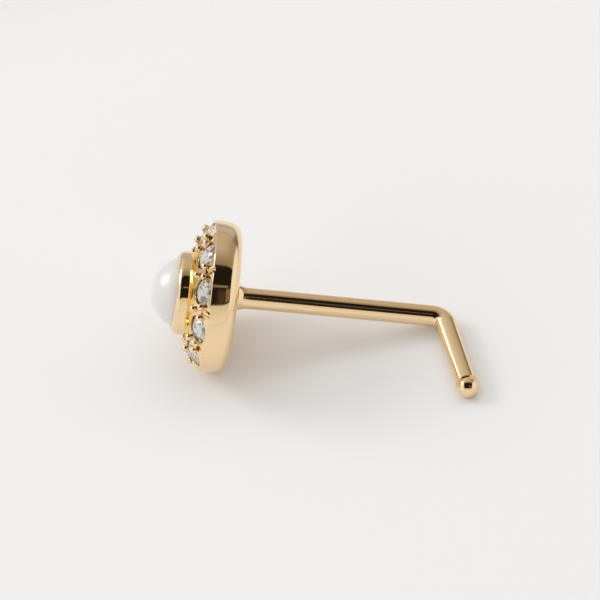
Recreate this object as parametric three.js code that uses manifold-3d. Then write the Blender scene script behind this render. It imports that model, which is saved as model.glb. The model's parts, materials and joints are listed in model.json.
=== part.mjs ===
// A nose pin, an L-shaped stud. Its round head holds a pearl in a bezel, and a sloped halo of small brilliants
// round that. A straight post leaves the back of the head, bends near its end into a short leg, and the leg
// ends in a small ball. Setting, post and leg are soldered together and are one piece of metal.
//
// Units are millimetres. Each piece is shaped in the stud's own frame: the back of the head lies in z = 0, +Z
// points out of the face, the post runs along -Z and the leg turns off towards +X. At the end the whole stud
// is laid down as it rests on a table, +Z up, on the edge of its head and the whole of its leg.

import * as THREE from "three";
import { ConvexGeometry } from "three/addons/geometries/ConvexGeometry.js";
import { mergeVertices } from "three/addons/utils/BufferGeometryUtils.js";
import Module from "manifold-3d";

const degrees = THREE.MathUtils.degToRad;

// Driving dimensions

// Wire: a 20 gauge post, its leg and the ball on the leg's end
const wireDiameter = 0.8;
const postLength = 7.86; // back of the head to the corner where the centre lines of post and leg cross
const legLength = 3.9; // that corner to the centre of the ball
const bendTurn = degrees(76); // how far the leg turns off the post's direction
const bendRadius = 0.6; // of the wire's centre line
const ballDiameter = 0.8;
const rootDepth = 0.3; // how deep the post goes into the head's metal
const neckDepth = 0.24; // the wire ends this far short of the ball's centre, which leaves a fine neck
const solderReach = 0.5; // how far the solder runs along the post
const solderSpread = 0.2; // how far it spreads beyond the post on the head's back

// Head: a round plate with a flat back, a full round band and a sloped halo
const headDiameter = 5.72;
const bandHeight = 1.05; // back of the head to the halo's outer edge
const backReach = 0.78; // the flat back ends this far inside the band's widest circle
const bandFullness = 3.5; // 2 is a plain ellipse, and more is squarer
const haloSlope = degrees(31);
const headLean = degrees(1.1); // the head isn't quite square to the post, as soldered by hand
const leanAxis = degrees(41.7); // the head leans about this line, seen from the leg's direction

// Bezel and pearl
const bezelDiameter = 3.14;
const bezelHeight = 2.27; // back of the head to the lip
const bezelRounding = 0.2;
const pearlDiameter = 2.73;
const pearlTop = 3.16; // back of the head to the top of the pearl
const settingGap = 0.03; // between each set piece and the metal

// Brilliants of the halo
const stoneCount = 10;
const stoneDiameter = 1;
const stoneSink = 0.12; // girdle below the halo's surface
const rimWall = 0.06; // metal left outside each seat, at the halo's surface
const haloTurn = degrees(8.3); // first stone, seen from the leg's direction
const tableShare = 0.56; // the shares are of the stone's diameter
const crownShare = 0.15;
const girdleShare = 0.03;
const pavilionShare = 0.43;
const tableSides = 8;

// Grains that hold the brilliants, and the cuts between them
const outerGrainDiameter = 0.28;
const outerGrainRim = 0.46; // grain centre to the band's surface
const outerGrainSide = 0.57; // grain centre to the middle of its stone, round the head
const innerGrainDiameter = 0.3;
const innerGrainGap = 0.45; // grain centre to the bezel's side
const grainStand = 0.05; // grain centre above the halo's surface
const pocketLength = 0.62; // of the hollow between each stone and the bezel, round the head
const pocketWidth = 0.22;
const pocketDepth = 0.15;
const cutWidth = 0.2; // of the groove from each pair of outer grains over the edge of the band
const cutStart = 0.45; // inner end of that groove to the band's surface

// Fineness of the facets
const headSides = 60;
const wireSides = 16;
const bendSteps = 8;
const bandSteps = 7;
const roundingSteps = 4;
const grainSides = 8;
const pocketSides = 10;
const pearlSteps = 10;

// Sizes that follow

const wireRadius = wireDiameter / 2;
const headRadius = headDiameter / 2;
const bezelRadius = bezelDiameter / 2;
const pearlRadius = pearlDiameter / 2;
const pearlMiddle = pearlTop - pearlRadius;
const stoneRadius = stoneDiameter / 2;
const seatRadius = stoneRadius + settingGap;
const haloRadius = headRadius - rimWall - seatRadius * Math.cos(haloSlope);
const pocketRadius = (bezelRadius + haloRadius - seatRadius * Math.cos(haloSlope)) / 2;
const stonePitch = (2 * Math.PI) / stoneCount;

const wasm = await Module();
wasm.setup();

// Turning a geometry into a solid that can be cut and joined, and back
const weldDistance = 1e-5;

function solidOf(geometry) {
  const bare = geometry.clone();
  bare.deleteAttribute("normal");
  bare.deleteAttribute("uv");
  const welded = mergeVertices(bare, weldDistance);
  return new wasm.Manifold(
    new wasm.Mesh({
      numProp: 3,
      vertProperties: welded.getAttribute("position").array,
      triVerts: new Uint32Array(welded.index.array),
    }),
  );
}

function geometryOf(solid) {
  const { vertProperties, triVerts } = solid.getMesh();
  const geometry = new THREE.BufferGeometry();
  geometry.setAttribute("position", new THREE.BufferAttribute(vertProperties, 3));
  geometry.setIndex(new THREE.BufferAttribute(triVerts, 1));
  geometry.computeVertexNormals();
  return geometry;
}

// A shape turned about the Z axis, from a profile of [radius, height] that starts and ends on the axis
function turned(profile, sides) {
  const points = profile.map(([radius, height]) => new THREE.Vector2(radius, height));
  return new THREE.LatheGeometry(points, sides).rotateX(Math.PI / 2);
}

// Points of a circular arc, as [radius, height]
function arc(middle, radius, from, to, steps) {
  const points = [];
  for (let i = 0; i <= steps; i++) {
    const angle = from + ((to - from) * i) / steps;
    points.push([middle[0] + radius * Math.cos(angle), middle[1] + radius * Math.sin(angle)]);
  }
  return points;
}

// The head's own frame in the stud's: turned by the lean about the top of the pearl
function headPlace() {
  const pivot = new THREE.Vector3(0, 0, pearlTop);
  const line = new THREE.Vector3(Math.cos(leanAxis), Math.sin(leanAxis), 0);
  const lean = new THREE.Matrix4().makeRotationAxis(line, -headLean);
  return lean.setPosition(pivot.clone().sub(pivot.clone().applyMatrix4(lean)));
}

// The band's section, a quarter of a full ellipse from the flat back out to the halo's edge, as [radius, height]
function bandSection() {
  return Array.from({ length: bandSteps + 1 }, (_, i) => {
    const turn = (Math.PI / 2) * (i / bandSteps);
    return [
      headRadius - backReach * (1 - Math.sin(turn) ** (2 / bandFullness)),
      bandHeight * (1 - Math.max(0, Math.cos(turn)) ** (2 / bandFullness)),
    ];
  });
}

// How the stud rests: on the whole length of its leg and on the round band of its head. The table's upward
// direction is square to the leg, and is swung about it until a facet of the band just touches.
function restingUp() {
  const back = new THREE.Vector3().applyMatrix4(headPlace());
  const axis = new THREE.Vector3(0, 0, 1).transformDirection(headPlace());
  const corner = new THREE.Vector3(0, 0, -postLength);
  const aside = new THREE.Vector3(0, 1, 0);
  const raised = new THREE.Vector3(Math.cos(bendTurn), 0, Math.sin(bendTurn));
  const upAt = (swing) => aside.clone().multiplyScalar(Math.cos(swing)).addScaledVector(raised, Math.sin(swing));
  const clearance = (up) => {
    const facing = up.dot(axis);
    const backHeight = wireRadius + up.dot(back.clone().sub(corner));
    const facetShare = Math.sqrt(1 - facing * facing) * Math.cos(Math.PI / headSides);
    return backHeight + Math.min(...bandSection().map(([radius, height]) => height * facing - radius * facetShare));
  };
  let [low, high] = [0, Math.PI / 2];
  for (let i = 0; i < 50; i++) {
    const half = (low + high) / 2;
    if (clearance(upAt(half)) < 0) low = half;
    else high = half;
  }
  return upAt(high);
}

// Height of the halo's surface at a distance from the head's axis
function haloHeight(radius) {
  return bandHeight + (headRadius - radius) * Math.tan(haloSlope);
}

// A place on the halo: its X points down the slope, its Y round the head and its Z out of the surface
function onHalo(turn, radius, lift) {
  const round = new THREE.Vector3(-Math.sin(turn), Math.cos(turn), 0);
  const out = new THREE.Vector3(Math.cos(turn), Math.sin(turn), 0);
  const normal = out.clone().multiplyScalar(Math.sin(haloSlope)).setZ(Math.cos(haloSlope));
  const down = round.clone().cross(normal);
  const place = out.multiplyScalar(radius).setZ(haloHeight(radius)).addScaledVector(normal, lift);
  return new THREE.Matrix4().makeBasis(down, round, normal).setPosition(place);
}

// Head: the turned plate, bezel and pearl cup, in one profile from the middle of the back to the cup's bottom.
// The middle of one of its facets is turned to the table, because a round head doesn't rest on a corner.
function headBlank() {
  const cupRadius = pearlRadius + settingGap;
  const lipAngle = Math.asin((bezelHeight - pearlMiddle) / cupRadius);
  const profile = [
    [0, 0],
    ...bandSection(),
    [bezelRadius, haloHeight(bezelRadius)],
    ...arc([bezelRadius - bezelRounding, bezelHeight - bezelRounding], bezelRounding, 0, Math.PI / 2, roundingSteps),
    ...arc([0, pearlMiddle], cupRadius, lipAngle, -Math.PI / 2, pearlSteps).slice(0, -1),
    [0, pearlMiddle - cupRadius],
  ];
  const down = restingUp().negate().transformDirection(headPlace().invert());
  const facetTurn = Math.atan2(down.y, down.x) + Math.PI / headSides;
  return solidOf(turned(profile, headSides).rotateZ(facetTurn));
}

// A seat: a straight hole for the girdle, with a cone below it for the pavilion
function seat(turn) {
  const depth = stoneDiameter * pavilionShare + settingGap;
  const ledge = -(stoneDiameter * girdleShare) / 2;
  const mouth = stoneSink + stoneDiameter * crownShare;
  const profile = [
    [0, ledge - depth],
    [seatRadius, ledge],
    [seatRadius, mouth],
    [0, mouth],
  ];
  return solidOf(turned(profile, 2 * tableSides).applyMatrix4(onHalo(turn, haloRadius, -stoneSink)));
}

// A brilliant: a table, star, kite and upper facets, a girdle, and a pavilion of long facets down to a point.
// Its girdle lies in z = 0. With a spare distance it becomes the room that the stone needs.
function brilliant(spare = 0) {
  const radius = stoneRadius + spare;
  const girdleHalf = (stoneDiameter * girdleShare) / 2 + spare;
  const tableRadius = stoneRadius * tableShare + spare;
  const top = (stoneDiameter * girdleShare) / 2 + stoneDiameter * crownShare + spare;
  const bottom = -(stoneDiameter * girdleShare) / 2 - stoneDiameter * pavilionShare - spare;
  const kiteShare = 0.8; // outer end of the star facets, in radii
  const longShare = 0.24; // inner end of the lower facets, in radii
  const facet = (2 * Math.PI) / tableSides;
  const flat = Math.cos(facet / 2);
  const kiteHeight = girdleHalf + ((top - girdleHalf) * (1 - kiteShare * flat)) / (1 - tableRadius / radius);
  const longHeight = -girdleHalf + (bottom + girdleHalf) * (1 - longShare * flat);
  const points = [new THREE.Vector3(0, 0, bottom)];
  const ring = (count, shift, ringRadius, height) => {
    for (let i = 0; i < count; i++) {
      const angle = ((i + shift) * 2 * Math.PI) / count;
      points.push(new THREE.Vector3(ringRadius * Math.cos(angle), ringRadius * Math.sin(angle), height));
    }
  };
  ring(tableSides, 0, tableRadius, top);
  ring(tableSides, 0.5, radius * kiteShare, kiteHeight);
  ring(2 * tableSides, 0, radius, girdleHalf);
  ring(2 * tableSides, 0, radius, -girdleHalf);
  ring(tableSides, 0.5, radius * longShare, longHeight);
  return new ConvexGeometry(points);
}

// A grain: a small ball raised from the metal
function grain(diameter, turn, radius, side) {
  const ball = new THREE.SphereGeometry(diameter / 2, grainSides, grainSides / 2 + 1).rotateX(Math.PI / 2);
  const place = onHalo(turn, radius, grainStand);
  return solidOf(ball.translate(0, side, 0).applyMatrix4(place));
}

// The hollow between a stone and the bezel: a long scoop
function pocket(turn) {
  const scoop = new THREE.SphereGeometry(1, pocketSides, pocketSides / 2).rotateX(Math.PI / 2);
  scoop.scale(pocketWidth / 2, pocketLength / 2, pocketDepth);
  return solidOf(scoop.applyMatrix4(onHalo(turn, pocketRadius, 0)));
}

// The groove between two outer grains: a round cut that runs down the slope and out over the band's edge
function grainCut(turn) {
  const run = (2 * cutStart) / Math.cos(haloSlope);
  const cutter = new THREE.CylinderGeometry(cutWidth / 2, cutWidth / 2, run, 2 * grainSides).rotateZ(Math.PI / 2);
  const place = onHalo(turn, headRadius - cutStart, grainStand);
  return solidOf(cutter.translate(run / 2, 0, 0).applyMatrix4(place));
}

// The wire's centre line: straight, round the bend and straight again. Its stations lie where the shape needs
// them, at the two ends and evenly round the bend, and not at even lengths.
class WireLine extends THREE.Curve {
  constructor(start, end) {
    super();
    const setback = bendRadius * Math.tan(bendTurn / 2);
    this.stations = [{ place: [0, start], turn: 0 }];
    for (let i = 0; i <= bendSteps; i++) {
      const turn = (bendTurn * i) / bendSteps;
      const across = bendRadius * (1 - Math.cos(turn));
      const along = setback - postLength - bendRadius * Math.sin(turn);
      this.stations.push({ place: [across, along], turn });
    }
    this.stations.push({
      place: [end * Math.sin(bendTurn), -postLength - end * Math.cos(bendTurn)],
      turn: bendTurn,
    });
  }
  getUtoTmapping(share) {
    return share;
  }
  get steps() {
    return this.stations.length - 1;
  }
  between(share, read) {
    const at = THREE.MathUtils.clamp(share * this.steps, 0, this.steps);
    const from = Math.min(Math.floor(at), this.steps - 1);
    return THREE.MathUtils.lerp(read(this.stations[from]), read(this.stations[from + 1]), at - from);
  }
  getPoint(share, target = new THREE.Vector3()) {
    return target.set(
      this.between(share, (station) => station.place[0]),
      0,
      this.between(share, (station) => station.place[1]),
    );
  }
  getTangent(share, target = new THREE.Vector3()) {
    const turn = this.between(share, (station) => station.turn);
    return target.set(Math.sin(turn), 0, -Math.cos(turn));
  }
}

// Post and leg with the ball on the end and the solder that joins the post to the head
function wire() {
  const line = new WireLine(rootDepth, legLength - neckDepth);
  const section = new THREE.Shape(
    Array.from({ length: wireSides }, (_, i) => {
      const angle = (2 * Math.PI * i) / wireSides;
      return new THREE.Vector2(wireRadius * Math.cos(angle), wireRadius * Math.sin(angle));
    }),
  );
  const rod = new THREE.ExtrudeGeometry(section, { steps: line.steps, bevelEnabled: false, extrudePath: line });
  const ball = new THREE.SphereGeometry(ballDiameter / 2, wireSides, wireSides / 2)
    .rotateX(Math.PI / 2)
    .rotateY(-bendTurn)
    .translate(legLength * Math.sin(bendTurn), 0, -postLength - legLength * Math.cos(bendTurn));
  const solder = [[0, rootDepth]];
  for (let i = 0; i <= roundingSteps; i++) {
    const away = i / roundingSteps;
    solder.push([wireRadius + solderSpread * (1 - away) ** 2, -solderReach * away]);
  }
  solder.splice(1, 0, [wireRadius + solderSpread, rootDepth]);
  solder.push([0, -solderReach]);
  return solidOf(rod)
    .add(solidOf(ball))
    .add(solidOf(turned(solder.reverse(), wireSides)));
}

// All the metal: the blank is cut for stones, hollows and grooves, then grains are raised and the stones' room
// is cleared
function metal() {
  let solid = headBlank();
  for (let i = 0; i < stoneCount; i++) {
    const turn = haloTurn + i * stonePitch;
    solid = solid.subtract(seat(turn)).subtract(pocket(turn)).subtract(grainCut(turn + stonePitch / 2));
  }
  for (let i = 0; i < stoneCount; i++) {
    const turn = haloTurn + i * stonePitch;
    for (const side of [-outerGrainSide, outerGrainSide]) {
      solid = solid.add(grain(outerGrainDiameter, turn, headRadius - outerGrainRim, side));
    }
    solid = solid.add(grain(innerGrainDiameter, turn + stonePitch / 2, bezelRadius + innerGrainGap, 0));
  }
  for (let i = 0; i < stoneCount; i++) {
    const room = brilliant(settingGap).applyMatrix4(onHalo(haloTurn + i * stonePitch, haloRadius, -stoneSink));
    solid = solid.subtract(solidOf(room));
  }
  return geometryOf(solidOf(geometryOf(solid).applyMatrix4(headPlace())).add(wire()));
}

// Finishes

const goldPlate = new THREE.MeshStandardMaterial({ color: 0xe8c896, metalness: 1, roughness: 0.08 });
const pearlLustre = new THREE.MeshStandardMaterial({ color: 0xece9e3, metalness: 0, roughness: 0.3 });
const clearStone = new THREE.MeshStandardMaterial({ color: 0xf0eff5, metalness: 0, roughness: 0.02 });

// The stud, in its own frame

function piece(name, geometry, material) {
  const mesh = new THREE.Mesh(geometry, material.clone());
  mesh.name = name;
  return mesh;
}

const stud = new THREE.Group();
const head = new THREE.Group();
head.applyMatrix4(headPlace());
stud.add(piece("gold_setting", metal(), goldPlate), head);

const pearlBall = new THREE.SphereGeometry(pearlRadius, 0.6 * headSides, pearlSteps + 4).rotateX(Math.PI / 2);
const pearl = piece("pearl", pearlBall, pearlLustre);
pearl.position.z = pearlMiddle;
head.add(pearl);

for (let i = 0; i < stoneCount; i++) {
  const stone = piece(`stone_${String(i + 1).padStart(2, "0")}`, brilliant(), clearStone);
  stone.applyMatrix4(onHalo(haloTurn + i * stonePitch, haloRadius, -stoneSink));
  head.add(stone);
}

// The resting stud, with the post pointing along +X as seen from above
const up = restingUp();
const tail = new THREE.Vector3(0, 0, -1);
const along = tail.clone().addScaledVector(up, -tail.dot(up)).normalize();
const across = up.clone().cross(along);
stud.applyMatrix4(new THREE.Matrix4().makeBasis(along, across, up).transpose());

// The origin lies on the table, below the middle of the whole stud
stud.updateMatrixWorld(true);
const extent = new THREE.Box3().setFromObject(stud, true);
const middle = extent.getCenter(new THREE.Vector3());
stud.position.set(-middle.x, -middle.y, -extent.min.z);

export default stud;
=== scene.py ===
"""A gold-plated nose pin, an L-shaped stud: a pearl in a bezel, a sloped halo of brilliants round it, and a
bent post with a ball end. The stud lies on a pale table, on the edge of its head, its bend and its leg's end.

The stud's sizes are in millimetres, as a maker gives them, and its two placements turn them into metres.
"""

import json
from math import asin, cos, pi, radians, sin, tan

import bmesh
import bpy
from mathutils import Matrix, Vector


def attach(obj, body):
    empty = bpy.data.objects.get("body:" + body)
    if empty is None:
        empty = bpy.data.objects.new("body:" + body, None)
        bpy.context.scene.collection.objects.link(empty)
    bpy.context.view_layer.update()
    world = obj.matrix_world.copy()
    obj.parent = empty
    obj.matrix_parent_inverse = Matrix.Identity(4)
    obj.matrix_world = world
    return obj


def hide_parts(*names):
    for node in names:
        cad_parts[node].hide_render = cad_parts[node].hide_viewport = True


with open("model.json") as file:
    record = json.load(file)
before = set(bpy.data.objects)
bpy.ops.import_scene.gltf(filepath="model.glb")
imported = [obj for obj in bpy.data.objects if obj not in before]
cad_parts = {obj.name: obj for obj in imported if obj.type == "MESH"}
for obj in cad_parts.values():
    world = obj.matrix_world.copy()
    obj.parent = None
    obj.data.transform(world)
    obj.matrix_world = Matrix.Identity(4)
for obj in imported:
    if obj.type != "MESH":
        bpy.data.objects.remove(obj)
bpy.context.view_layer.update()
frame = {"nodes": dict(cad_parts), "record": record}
nodes = frame["nodes"]

MM = 0.001

# Wire: post, leg and ball
WIRE_RADIUS = 0.4
POST_LENGTH = 7.86
LEG_LENGTH = 3.9
BEND_TURN = radians(76)
BEND_RADIUS = 0.6
BALL_RADIUS = 0.4
NECK_DEPTH = 0.24
SOLDER_REACH = 0.5
SOLDER_SPREAD = 0.2
ROOT_DEPTH = 0.3

# Head: plate, band, halo, bezel and the cup for the pearl
HEAD_RADIUS = 2.86
BAND_HEIGHT = 1.05
BACK_REACH = 0.78
BAND_FULLNESS = 3.5
RIM_ROUNDING = 0.06
HALO_SLOPE = radians(31)
HEAD_LEAN = radians(1.1)
LEAN_AXIS = radians(41.7)
BEZEL_RADIUS = 1.57
BEZEL_HEIGHT = 2.27
BEZEL_ROUNDING = 0.24
PEARL_RADIUS = 1.365
PEARL_TOP = 3.16
PEARL_MIDDLE = PEARL_TOP - PEARL_RADIUS
SETTING_GAP = 0.03

# Brilliants, their seats and the grains that hold them
STONE_COUNT = 10
STONE_RADIUS = 0.5
STONE_SINK = 0.12
SEAT_RADIUS = STONE_RADIUS + SETTING_GAP
SEAT_DEPTH = 0.86 * STONE_RADIUS + SETTING_GAP
SEAT_LEDGE = 0.03 * STONE_RADIUS
MOUTH_DEPTH = 0.02
MOUTH_RISE = 0.12
MOUTH_FLARES = (0.015, 0.02)
RIM_WALL = 0.06
HALO_TURN = radians(8.3)
HALO_RADIUS = HEAD_RADIUS - RIM_WALL - SEAT_RADIUS * cos(HALO_SLOPE)
STONE_PITCH = 2 * pi / STONE_COUNT
OUTER_GRAIN_RADIUS = 0.14
OUTER_GRAIN_RIM = 0.46
OUTER_GRAIN_SIDE = 0.57
INNER_GRAIN_RADIUS = 0.15
INNER_GRAIN_GAP = 0.45
GRAIN_STAND = 0.05
POCKET_SIZE = (0.22, 0.62, 0.3)
POCKET_RADIUS = (BEZEL_RADIUS + HALO_RADIUS - SEAT_RADIUS * cos(HALO_SLOPE)) / 2
CUT_RADIUS = 0.25
CUT_DEPTH = 0.05
CUT_START = 0.45

# Painted reflection, deeper gold in the ring round the bezel: from the bezel outwards, and from the band's
# edge upwards
HOLLOW_REFLECTION_START = (0.01, 0.06)
HOLLOW_REFLECTION_END = (0.5, 0.3)
HOLLOW_REFLECTION_FOOT = (0, 0.2)

# Fineness of the meshes, as edges in a circle or in the part of it that shows
HEAD_STEPS = 240
BAND_STEPS = 24
RIM_STEPS = 6
SLOPE_STEPS = 12
LIP_STEPS = 10
CUP_STEPS = 20
PEARL_STEPS = 96
SEAT_STEPS = 64
POCKET_STEPS = 32
CUT_STEPS = 64
GRAIN_STEPS = 24
WIRE_STEPS = 64
BEND_STEPS = 24
SOLDER_STEPS = 12
CREASE = radians(28)


def placement():
    """Where the head and the wire lie: two matrices from their own millimetres to the frame's metres."""
    mount = next(m for m in frame["record"]["mounts"] if m["name"] == "back_of_head")
    outward = -Vector(mount["axis"]).normalized()

    def middle(node):
        corners = {tuple(round(c, 7) for c in v.co) for v in nodes[node].data.vertices}
        return sum((Vector(c) for c in corners), Vector()) / len(corners)

    stones = [middle(f"stone_{i:02d}") for i in range(1, STONE_COUNT + 1)]
    centre = sum(stones, Vector()) / STONE_COUNT
    first = stones[0] - centre
    first = (first - outward * first.dot(outward)).normalized()
    across = Matrix.Rotation(-HALO_TURN, 3, outward) @ first
    origin = centre - outward * (centre - Vector(mount["pos_m"])).dot(outward)
    head = Matrix((across, outward.cross(across), outward)).transposed().to_4x4() * MM
    head.translation = origin
    head[3][3] = 1
    pivot = Matrix.Translation((0, 0, PEARL_TOP))
    axis = (cos(LEAN_AXIS), sin(LEAN_AXIS), 0)
    lean = pivot @ Matrix.Rotation(-HEAD_LEAN, 4, axis) @ pivot.inverted()
    return head, head @ lean.inverted()


HEAD_PLACE, WIRE_PLACE = placement()


# Materials


def linear(code):
    """An sRGB hex colour as Blender's linear RGBA."""
    channels = [int(code[i : i + 2], 16) / 255 for i in (0, 2, 4)]
    return [c / 12.92 if c <= 0.04045 else ((c + 0.055) / 1.055) ** 2.4 for c in channels] + [1]


def add_node(tree, kind, settings=None, inputs=None):
    """Adds a node with its settings, and gives each named or numbered input a link or a plain value."""
    node = tree.nodes.new(kind)
    for name, value in (settings or {}).items():
        setattr(node, name, value)
    for name, value in (inputs or {}).items():
        if isinstance(value, bpy.types.NodeSocket):
            tree.links.new(value, node.inputs[name])
        else:
            node.inputs[name].default_value = value
    return node


def painted(tree, ground, layers):
    """Colours laid on a ground in turn. Each has its edges: a value, where along it the colour starts to
    show, and where it covers."""
    for colour, edges in layers:
        mask = 1.0
        for value, start, end in edges:
            inputs = {"Value": value, "From Min": start, "From Max": end}
            edge = add_node(tree, "ShaderNodeMapRange", {"interpolation_type": "SMOOTHSTEP"}, inputs)
            inputs = {0: mask, 1: edge.outputs["Result"]}
            mask = add_node(tree, "ShaderNodeMath", {"operation": "MULTIPLY"}, inputs).outputs["Value"]
        inputs = {0: mask, 6: ground, 7: colour}
        ground = add_node(tree, "ShaderNodeMix", {"data_type": "RGBA"}, inputs).outputs[2]
    return ground


def new_material(name):
    """A material with its node tree, its shader and the place of a point on the stud."""
    material = bpy.data.materials.new(name)
    material.use_nodes = True
    tree = material.node_tree
    place = add_node(tree, "ShaderNodeTexCoord").outputs["Object"]
    return material, tree, tree.nodes["Principled BSDF"], place


def polished_gold_plate():
    """Gold plate on silver, cast, buffed and plated: a pale warm mirror, with a breath of haze and slow,
    faint waves that the buffing wheel leaves. In the hollow ring round the bezel a deeper yellow is painted
    into the gold's colour: a painted reflection, for the light that meets the gold there many times over."""
    material, tree, shader, place = new_material("polished_gold_plate")
    shader.inputs["Metallic"].default_value = 1
    inputs = {"Vector": place, "Location": HEAD_PLACE.translation}
    inputs |= {"Rotation": HEAD_PLACE.to_euler(), "Scale": (MM, MM, MM)}
    on_head = add_node(tree, "ShaderNodeMapping", {"vector_type": "TEXTURE"}, inputs).outputs["Vector"]
    inputs = {0: on_head, 1: (1, 1, 0)}
    flat = add_node(tree, "ShaderNodeVectorMath", {"operation": "MULTIPLY"}, inputs).outputs["Vector"]
    away = add_node(tree, "ShaderNodeVectorMath", {"operation": "LENGTH"}, {0: flat}).outputs["Value"]
    inputs = {0: on_head, 1: (0, 0, 1)}
    height = add_node(tree, "ShaderNodeVectorMath", {"operation": "DOT_PRODUCT"}, inputs).outputs["Value"]
    # Painted reflection: where the deeper yellow is painted, for light that bounces in the ring round the
    # bezel.
    edges = [
        (value, start + low, start + high)
        for value, start, (low, high) in (
            (away, BEZEL_RADIUS, HOLLOW_REFLECTION_START),
            (away, BEZEL_RADIUS, HOLLOW_REFLECTION_END),
            (height, BAND_HEIGHT, HOLLOW_REFLECTION_FOOT),
        )
    ]
    colour = painted(tree, linear("F7DAAE"), [(linear("EEC672"), edges)])
    tree.links.new(colour, shader.inputs["Base Color"])
    inputs = {"Vector": place, "Scale": 1 / (0.9 * MM), "Detail": 1}
    waves = add_node(tree, "ShaderNodeTexNoise", inputs=inputs)
    inputs = {"Height": waves.outputs["Fac"], "Strength": 1, "Distance": 0.0015 * MM}
    bump = add_node(tree, "ShaderNodeBump", inputs=inputs)
    tree.links.new(bump.outputs["Normal"], shader.inputs["Normal"])
    inputs = {"Vector": place, "Scale": 1 / (0.35 * MM), "Detail": 4}
    haze = add_node(tree, "ShaderNodeTexNoise", inputs=inputs)
    inputs = {"Value": haze.outputs["Fac"], "From Min": 0.3, "From Max": 0.7}
    inputs |= {"To Min": 0.04, "To Max": 0.11}
    roughness = add_node(tree, "ShaderNodeMapRange", inputs=inputs)
    tree.links.new(roughness.outputs["Result"], shader.inputs["Roughness"])
    return material


def cultured_pearl():
    """Nacre, grown in fine layers: a satin body that lets a little light in, under a soft glaze, with a faint
    play of rose and green. The layers' edges are finer than can show, so they are drawn 0.06 mm apart."""
    material, tree, shader, place = new_material("cultured_pearl")
    inputs = {"Vector": place, "Scale": 1 / (1.1 * MM), "Detail": 2}
    clouds = add_node(tree, "ShaderNodeTexNoise", inputs=inputs)
    inputs = {0: clouds.outputs["Fac"], 6: linear("E9E2DE"), 7: linear("E1E5DE")}
    body = add_node(tree, "ShaderNodeMix", {"data_type": "RGBA"}, inputs)
    tree.links.new(body.outputs[2], shader.inputs["Base Color"])
    inputs = {"Vector": place, "Scale": 1 / (0.06 * MM), "Detail": 2}
    layers = add_node(tree, "ShaderNodeTexNoise", inputs=inputs)
    inputs = {"Height": layers.outputs["Fac"], "Strength": 1, "Distance": 0.001 * MM}
    bump = add_node(tree, "ShaderNodeBump", inputs=inputs)
    tree.links.new(bump.outputs["Normal"], shader.inputs["Normal"])
    for name, value in {
        "Roughness": 0.3,
        "Subsurface Weight": 0.2,
        "Subsurface Radius": (0.4 * MM, 0.36 * MM, 0.32 * MM),
        "Subsurface Scale": 1,
        "Coat Weight": 1,
        "Coat Roughness": 0.31,
        "Coat IOR": 1.6,
    }.items():
        shader.inputs[name].default_value = value
    return material


def cubic_zirconia():
    """Cubic zirconia, cut and polished: clear and strongly bending, with a trace of haze that the lap leaves.
    The matt part stands for the light that a cut stone sends back from all its facets at once. Its cells
    stand for the light and dark patches, about 0.12 mm across, into which the facets split that light."""
    material, tree, shader, place = new_material("cubic_zirconia")
    shader.inputs["IOR"].default_value = 2.15
    shader.inputs["Transmission Weight"].default_value = 0.35
    inputs = {"Vector": place, "Scale": 1 / (0.12 * MM)}
    patches = add_node(tree, "ShaderNodeTexVoronoi", {"distance": "MANHATTAN"}, inputs)
    inputs = {"Value": patches.outputs["Color"], "From Min": 0.3, "From Max": 0.5}
    brightness = add_node(tree, "ShaderNodeMapRange", inputs=inputs)
    inputs = {0: brightness.outputs["Result"], 6: linear("90877E"), 7: linear("FFFAF4")}
    body = add_node(tree, "ShaderNodeMix", {"data_type": "RGBA"}, inputs)
    tree.links.new(body.outputs[2], shader.inputs["Base Color"])
    inputs = {"Vector": place, "Scale": 1 / (0.2 * MM), "Detail": 3}
    haze = add_node(tree, "ShaderNodeTexNoise", inputs=inputs)
    inputs = {"Value": haze.outputs["Fac"], "From Min": 0.3, "From Max": 0.7}
    inputs |= {"To Min": 0.0, "To Max": 0.002}
    roughness = add_node(tree, "ShaderNodeMapRange", inputs=inputs)
    tree.links.new(roughness.outputs["Result"], shader.inputs["Roughness"])
    return material


GOLD = polished_gold_plate()
PEARL = cultured_pearl()
STONE = cubic_zirconia()


# Shapes


def finish_piece(name, shape, material, replaced):
    """Makes a shape an object that rides on the stud's one body and replaces a CAD node. The object sits at
    the origin, with its place in its mesh."""
    mesh = bpy.data.meshes.new(name)
    shape.to_mesh(mesh)
    shape.free()
    mesh.materials.append(material)
    piece = bpy.data.objects.new(name, mesh)
    bpy.context.scene.collection.objects.link(piece)
    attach(piece, "root")
    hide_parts(replaced)


def arc(middle, radius, start, end, steps):
    """Points of a circular arc, as (radius, height)."""
    turns = [start + (end - start) * i / steps for i in range(steps + 1)]
    return [(middle[0] + radius * cos(t), middle[1] + radius * sin(t)) for t in turns]


def turned(profile, steps):
    """A solid spun about Z from (radius, height) points that start and end on the axis."""
    shape = bmesh.new()
    corners = [shape.verts.new((r, 0, z)) for r, z in profile]
    outline = [shape.edges.new(pair) for pair in zip(corners, corners[1:])]
    bmesh.ops.spin(
        shape,
        geom=corners + outline,
        cent=(0, 0, 0),
        axis=(0, 0, 1),
        dvec=(0, 0, 0),
        angle=2 * pi,
        steps=steps,
        use_merge=True,
    )
    bmesh.ops.remove_doubles(shape, verts=shape.verts, dist=1e-5)
    bmesh.ops.recalc_face_normals(shape, faces=shape.faces)
    return shape


def halo_height(radius):
    return BAND_HEIGHT + (HEAD_RADIUS - radius) * tan(HALO_SLOPE)


def on_halo(turn, radius, lift):
    """A place on the halo: X points down the slope, Y round the head and Z out of the surface."""
    around = Vector((-sin(turn), cos(turn), 0))
    normal = Vector((cos(turn) * sin(HALO_SLOPE), sin(turn) * sin(HALO_SLOPE), cos(HALO_SLOPE)))
    down = around.cross(normal)
    place = Vector((radius * cos(turn), radius * sin(turn), halo_height(radius))) + lift * normal
    return Matrix.Translation(place) @ Matrix((down, around, normal)).transposed().to_4x4()


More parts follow.
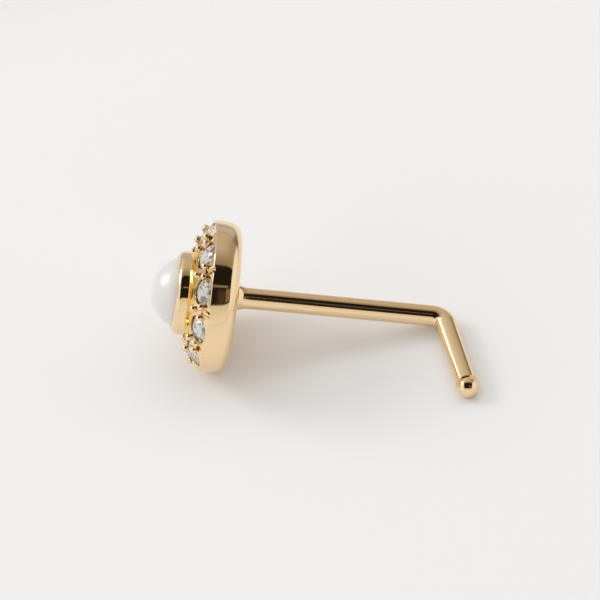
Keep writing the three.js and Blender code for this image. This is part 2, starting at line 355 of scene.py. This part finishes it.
def band_section():
    """A quarter of a full ellipse, from the flat back out to the halo's edge, as (radius, height)."""
    points = []
    for i in range(BAND_STEPS + 1):
        turn = pi / 2 * i / BAND_STEPS
        radius = HEAD_RADIUS - BACK_REACH * (1 - sin(turn) ** (2 / BAND_FULLNESS))
        points.append((radius, BAND_HEIGHT * (1 - max(0, cos(turn)) ** (2 / BAND_FULLNESS))))
    return points


def head_blank():
    """The plate, band, halo, bezel and cup, spun from one profile."""
    cup_radius = PEARL_RADIUS + SETTING_GAP
    lip_turn = asin((BEZEL_HEIGHT - PEARL_MIDDLE) / cup_radius)
    rim_turn = pi / 2 - HALO_SLOPE
    rim_middle = (HEAD_RADIUS - RIM_ROUNDING, BAND_HEIGHT - RIM_ROUNDING * tan(rim_turn / 2))
    rim = arc(rim_middle, RIM_ROUNDING, 0, rim_turn, RIM_STEPS)
    profile = [(0, 0), ((HEAD_RADIUS - BACK_REACH) / 2, 0)]
    profile += [point for point in band_section() if point[1] < rim[0][1]] + rim
    for i in range(1, SLOPE_STEPS + 1):
        radius = rim[-1][0] + (BEZEL_RADIUS - rim[-1][0]) * i / SLOPE_STEPS
        profile.append((radius, halo_height(radius)))
    lip_middle = (BEZEL_RADIUS - BEZEL_ROUNDING, BEZEL_HEIGHT - BEZEL_ROUNDING)
    profile += arc(lip_middle, BEZEL_ROUNDING, 0, pi / 2, LIP_STEPS)
    profile += arc((0, PEARL_MIDDLE), cup_radius, lip_turn, -pi / 2, CUP_STEPS)[:-1]
    profile.append((0, PEARL_MIDDLE - cup_radius))
    return turned(profile, HEAD_STEPS)


def seat(turn):
    """The hole for one brilliant, with a flared mouth."""
    profile = [
        (0, -SEAT_LEDGE - SEAT_DEPTH),
        (SEAT_RADIUS, -SEAT_LEDGE),
        (SEAT_RADIUS, STONE_SINK - MOUTH_DEPTH),
        (SEAT_RADIUS + MOUTH_FLARES[0], STONE_SINK),
        (SEAT_RADIUS + MOUTH_FLARES[1], STONE_SINK + MOUTH_RISE),
        (0, STONE_SINK + MOUTH_RISE),
    ]
    cutter = turned(profile, SEAT_STEPS)
    cutter.transform(on_halo(turn, HALO_RADIUS, -STONE_SINK))
    return cutter


def pocket(turn):
    """The hollow between a stone and the bezel: a long scoop."""
    scoop = bmesh.new()
    bmesh.ops.create_uvsphere(scoop, u_segments=POCKET_STEPS, v_segments=POCKET_STEPS // 2, radius=0.5)
    scoop.transform(on_halo(turn, POCKET_RADIUS, 0) @ Matrix.Diagonal((*POCKET_SIZE, 1)))
    return scoop


def groove(turn):
    """The cut between two outer grains, down the slope and out over the edge of the band."""
    run = 2 * CUT_START / cos(HALO_SLOPE)
    cutter = bmesh.new()
    bmesh.ops.create_cone(
        cutter, cap_ends=True, segments=CUT_STEPS, radius1=CUT_RADIUS, radius2=CUT_RADIUS, depth=run
    )
    cutter.transform(Matrix.Translation((run / 2, 0, 0)) @ Matrix.Rotation(pi / 2, 4, "Y"))
    cutter.transform(on_halo(turn, HEAD_RADIUS - CUT_START, CUT_RADIUS - CUT_DEPTH))
    return cutter


def grain(radius, turn, distance, side):
    """A small ball of metal raised to hold a stone."""
    ball = bmesh.new()
    bmesh.ops.create_uvsphere(ball, u_segments=GRAIN_STEPS, v_segments=GRAIN_STEPS // 2, radius=radius)
    ball.transform(on_halo(turn, distance, GRAIN_STAND) @ Matrix.Translation((0, side, 0)))
    return ball


def wire():
    """Post and leg, swept round the bend with spins and straight extrusions."""
    shape = bmesh.new()
    ring = bmesh.ops.create_circle(shape, cap_ends=False, segments=WIRE_STEPS, radius=WIRE_RADIUS)
    edges = list({e for v in ring["verts"] for e in v.link_edges})
    bmesh.ops.contextual_create(shape, geom=edges)
    bmesh.ops.translate(shape, verts=ring["verts"], vec=(0, 0, ROOT_DEPTH))
    setback = BEND_RADIUS * tan(BEND_TURN / 2)

    def extrude(edges, vector):
        made = bmesh.ops.extrude_edge_only(shape, edges=edges)["geom"]
        corners = [g for g in made if isinstance(g, bmesh.types.BMVert)]
        bmesh.ops.translate(shape, verts=corners, vec=vector)
        return [g for g in made if isinstance(g, bmesh.types.BMEdge) and len(g.link_faces) == 1]

    edges = extrude(edges, (0, 0, setback - POST_LENGTH - ROOT_DEPTH))
    bend = bmesh.ops.spin(
        shape,
        geom=edges + list({v for e in edges for v in e.verts}),
        cent=(BEND_RADIUS, 0, setback - POST_LENGTH),
        axis=(0, -1, 0),
        dvec=(0, 0, 0),
        angle=BEND_TURN,
        steps=BEND_STEPS,
    )["geom_last"]
    edges = [g for g in bend if isinstance(g, bmesh.types.BMEdge)]
    run = LEG_LENGTH - NECK_DEPTH - setback
    edges = extrude(edges, Vector((sin(BEND_TURN), 0, -cos(BEND_TURN))) * run)
    bmesh.ops.contextual_create(shape, geom=edges)
    bmesh.ops.recalc_face_normals(shape, faces=shape.faces)
    return shape


def wire_ball():
    ball = bmesh.new()
    bmesh.ops.create_uvsphere(ball, u_segments=WIRE_STEPS, v_segments=WIRE_STEPS // 2, radius=BALL_RADIUS)
    end = (LEG_LENGTH * sin(BEND_TURN), 0, -POST_LENGTH - LEG_LENGTH * cos(BEND_TURN))
    ball.transform(Matrix.Translation(end) @ Matrix.Rotation(-BEND_TURN, 4, "Y"))
    return ball


def solder():
    """The fillet of solder round the root of the post."""
    profile = [(0, ROOT_DEPTH), (WIRE_RADIUS + SOLDER_SPREAD, ROOT_DEPTH)]
    for i in range(SOLDER_STEPS + 1):
        away = i / SOLDER_STEPS
        profile.append((WIRE_RADIUS + SOLDER_SPREAD * (1 - away) ** 2, -SOLDER_REACH * away))
    return turned(profile + [(0, -SOLDER_REACH)], WIRE_STEPS)


def as_object(shape, name):
    mesh = bpy.data.meshes.new(name)
    shape.to_mesh(mesh)
    shape.free()
    item = bpy.data.objects.new(name, mesh)
    bpy.context.scene.collection.objects.link(item)
    return item


def combine(base, tools, operation):
    """Cuts tools from a shape, or joins them to it, with Blender's Boolean, and gives the new shape."""
    body = as_object(base, "blank")
    group = bpy.data.collections.new("tools")
    bpy.context.scene.collection.children.link(group)
    helpers = [as_object(tool, "tool") for tool in tools]
    for helper in helpers:
        bpy.context.scene.collection.objects.unlink(helper)
        group.objects.link(helper)
    modifier = body.modifiers.new(operation, "BOOLEAN")
    modifier.operation = operation
    modifier.solver = "MANIFOLD"
    modifier.operand_type = "COLLECTION"
    modifier.collection = group
    result = bmesh.new()
    result.from_object(body, bpy.context.evaluated_depsgraph_get())
    for item in helpers + [body]:
        bpy.data.meshes.remove(item.data)
    bpy.data.collections.remove(group)
    return result


def set_shading(shape, crease):
    """Smooth faces, with a sharp edge wherever two faces meet at more than the crease angle."""
    for face in shape.faces:
        face.smooth = True
    for edge in shape.edges:
        edge.smooth = len(edge.link_faces) == 2 and edge.calc_face_angle(pi) < crease


def gold_setting():
    """All the metal, soldered into one piece: the head is cut, its grains raised and its seats bored, and then
    the wire joins it."""
    turns = [HALO_TURN + i * STONE_PITCH for i in range(STONE_COUNT)]
    between = [turn + STONE_PITCH / 2 for turn in turns]
    cuts = [groove(turn) for turn in between] + [pocket(turn) for turn in turns]
    shape = combine(head_blank(), cuts, "DIFFERENCE")
    grains = [
        grain(OUTER_GRAIN_RADIUS, turn, HEAD_RADIUS - OUTER_GRAIN_RIM, side)
        for turn in turns
        for side in (-OUTER_GRAIN_SIDE, OUTER_GRAIN_SIDE)
    ]
    grains += [grain(INNER_GRAIN_RADIUS, turn, BEZEL_RADIUS + INNER_GRAIN_GAP, 0) for turn in between]
    shape = combine(shape, grains, "UNION")
    shape = combine(shape, [seat(turn) for turn in turns], "DIFFERENCE")
    shape.transform(WIRE_PLACE.inverted() @ HEAD_PLACE)
    shape = combine(shape, [wire(), wire_ball(), solder()], "UNION")
    shape.transform(WIRE_PLACE)
    set_shading(shape, CREASE)
    finish_piece("polished_setting", shape, GOLD, "gold_setting")


def pearl():
    ball = bmesh.new()
    bmesh.ops.create_uvsphere(ball, u_segments=PEARL_STEPS, v_segments=PEARL_STEPS // 2, radius=PEARL_RADIUS)
    ball.transform(HEAD_PLACE @ Matrix.Translation((0, 0, PEARL_MIDDLE)))
    set_shading(ball, pi)
    finish_piece("round_pearl", ball, PEARL, "pearl")


gold_setting()
pearl()
for i in range(1, STONE_COUNT + 1):
    stone = nodes[f"stone_{i:02d}"]
    stone.data.materials.clear()
    stone.data.materials.append(STONE)


# Camera: the picture's measures in pixels, its scale on the stud, and the lens in millimetres

FRAME_PIXELS = 600
PIXELS_PER_MM = 26.75
CORNER_PIXEL = (443.6, 316.8)
POST_SLANT = radians(5.41)
FORWARD_TILT = radians(3.8)
LEG_TURN = radians(41.7)
LENS = 1000


def camera():
    """A long lens, turned so that the post and leg lie as in the photograph. The corner where their centre
    lines cross falls on its own pixel."""
    turn = WIRE_PLACE.to_quaternion()
    tilt, swing = FORWARD_TILT, LEG_TURN
    toward = turn @ Vector((cos(tilt) * cos(swing), cos(tilt) * sin(swing), sin(tilt)))
    post = turn @ Vector((0, 0, -1))
    post = (post - toward * post.dot(toward)).normalized()
    below = post.cross(toward)
    right = post * cos(POST_SLANT) - below * sin(POST_SLANT)
    up = toward.cross(right)
    width = FRAME_PIXELS / PIXELS_PER_MM * MM
    lens = bpy.data.cameras.new("camera")
    lens.lens = LENS
    distance = width * LENS / lens.sensor_width
    corner = WIRE_PLACE @ Vector((0, 0, -POST_LENGTH))
    middle = FRAME_PIXELS / 2
    offset = [(pixel - middle) / PIXELS_PER_MM * MM for pixel in CORNER_PIXEL]
    aim = corner - right * offset[0] + up * offset[1]
    lens.clip_start = distance / 100
    lens.clip_end = distance * 10
    item = bpy.data.objects.new("camera", lens)
    bpy.context.scene.collection.objects.link(item)
    facing = Matrix((right, up, toward)).transposed().to_4x4()
    item.matrix_world = Matrix.Translation(aim + toward * distance) @ facing
    bpy.context.scene.camera = item
    return right, up, toward


RIGHT, UP, TOWARD = camera()


# Table, light and surroundings, in metres

TABLE_REACH = 2
TABLE_TURNS_GREY = (0.017, 0.045)


def table():
    """A matt white table that turns grey behind the picture, where less of the light reaches it."""
    material, tree, shader, place = new_material("matt_white_table")
    shader.inputs["Roughness"].default_value = 0.9
    shader.inputs["Specular IOR Level"].default_value = 0.1
    back = Vector((-TOWARD.x, -TOWARD.y, 0)).normalized()
    behind = add_node(tree, "ShaderNodeVectorMath", {"operation": "DOT_PRODUCT"}, {0: place, 1: back})
    edges = [(behind.outputs["Value"], *TABLE_TURNS_GREY)]
    colour = painted(tree, linear("F8F9FB"), [(linear("C0C0C2"), edges)])
    tree.links.new(colour, shader.inputs["Base Color"])
    shape = bmesh.new()
    bmesh.ops.create_grid(shape, x_segments=1, y_segments=1, size=TABLE_REACH)
    mesh = bpy.data.meshes.new("table")
    shape.to_mesh(mesh)
    shape.free()
    mesh.materials.append(material)
    item = bpy.data.objects.new("table", mesh)
    bpy.context.scene.collection.objects.link(item)


def surroundings():
    """A white studio round a warm grey back wall, with the dark end where the camera stands. All of it is
    fixed in the world's own directions, so it stays where it is in every view. The angles are in degrees:
    sideways, height from the camera up and on round behind the stud, and elevation over the table."""
    world = bpy.data.worlds.new("studio")
    bpy.context.scene.world = world
    world.use_nodes = True
    tree = world.node_tree
    direction = add_node(tree, "ShaderNodeTexCoord").outputs["Generated"]
    reaches = []
    for axis in (RIGHT, UP, TOWARD, (0, 0, 1)):
        inputs = {0: direction, 1: axis}
        reach = add_node(tree, "ShaderNodeVectorMath", {"operation": "DOT_PRODUCT"}, inputs)
        reaches.append(reach.outputs["Value"])
    right, up, toward, over = reaches
    angles = []
    for operation, inputs in (
        ("ARCSINE", {0: right}),
        ("ARCTAN2", {0: up, 1: toward}),
        ("ARCSINE", {0: over}),
    ):
        turn = add_node(tree, "ShaderNodeMath", {"operation": operation}, inputs).outputs["Value"]
        turn = add_node(tree, "ShaderNodeMath", {"operation": "DEGREES"}, {0: turn}).outputs["Value"]
        angles.append(turn)
    sideways, height, elevation = angles
    aside = add_node(tree, "ShaderNodeMath", {"operation": "ABSOLUTE"}, {0: sideways}).outputs["Value"]

    def between(angle, low, high, soft):
        """The two soft edges of a band of angles."""
        return [(angle, low - soft, low + soft), (angle, high + soft, high - soft)]

    wall = painted(
        tree,
        (0.76, 0.72, 0.68, 1),
        [
            # The wall dims to the right, and then once more.
            ((0.56, 0.51, 0.46, 1), [(sideways, -40, 10)]),
            ((0.40, 0.35, 0.30, 1), [(sideways, 8, 30)]),
            # A low wall before it, the dark line along its top, and the dark corner above.
            ((0.54, 0.54, 0.55, 1), [(height, 88, 92), (elevation, 19, 15)]),
            ((0.38, 0.34, 0.30, 1), between(height, 88, 180, 0.3) + between(elevation, 15.5, 17, 0.3)),
            ((0.24, 0.20, 0.16, 1), [(sideways, 20, 30), (height, 98, 112)]),
        ],
    )
    seen = painted(
        tree,
        (0.74, 0.69, 0.62, 1),
        [
            # Down to the table, over the camera, and on to the wall, with white sides.
            ((0.85, 0.84, 0.83, 1), [(height, -14, -42)]),
            ((0.30, 0.25, 0.17, 1), [(height, 48, 50)]),
            (wall, [(height, 50, 80)]),
            ((0.95, 0.95, 0.95, 1), [(aside, 40, 47), (height, 122, 110)]),
            # The dark end, a thin bar across it, brighter to the right, and two brown patches below the bar.
            ((0.016, 0.013, 0.009, 1), between(sideways, -44, 44, 0.7) + between(height, -14.5, 49, 0.7)),
            ((0.06, 0.045, 0.03, 1), between(sideways, -60, 44, 0.6) + between(height, 13.5, 16, 0.6)),
            ((0.32, 0.29, 0.25, 1), between(sideways, 2, 30, 0.6) + between(height, 13.5, 16, 0.6)),
            ((0.07, 0.05, 0.03, 1), between(sideways, 10, 24, 3) + between(height, -11, 8, 3)),
            ((0.24, 0.165, 0.10, 1), between(sideways, 25, 42, 2) + between(height, -11, 11, 2)),
        ],
    )
    tree.links.new(seen, tree.nodes["Background"].inputs["Color"])


def lamp(name, place, size, energy):
    """A square light that faces the stud."""
    light = bpy.data.lights.new(name, "AREA")
    light.size = size
    light.energy = energy
    item = bpy.data.objects.new(name, light)
    bpy.context.scene.collection.objects.link(item)
    place = Vector(place)
    item.matrix_world = Matrix.Translation(place) @ place.to_track_quat("Z", "Y").to_matrix().to_4x4()
    return item


table()
surroundings()
# Soft light from the left draws the shadows to the right. The broad light above only lifts what is matt.
lamp("window", place=(-0.28, 0.12, 0.2), size=0.15, energy=0.34)
lamp("ceiling", place=(0.1, 0, 0.6), size=1, energy=2.6).visible_glossy = False
bpy.context.scene.view_settings.view_transform = "Standard"
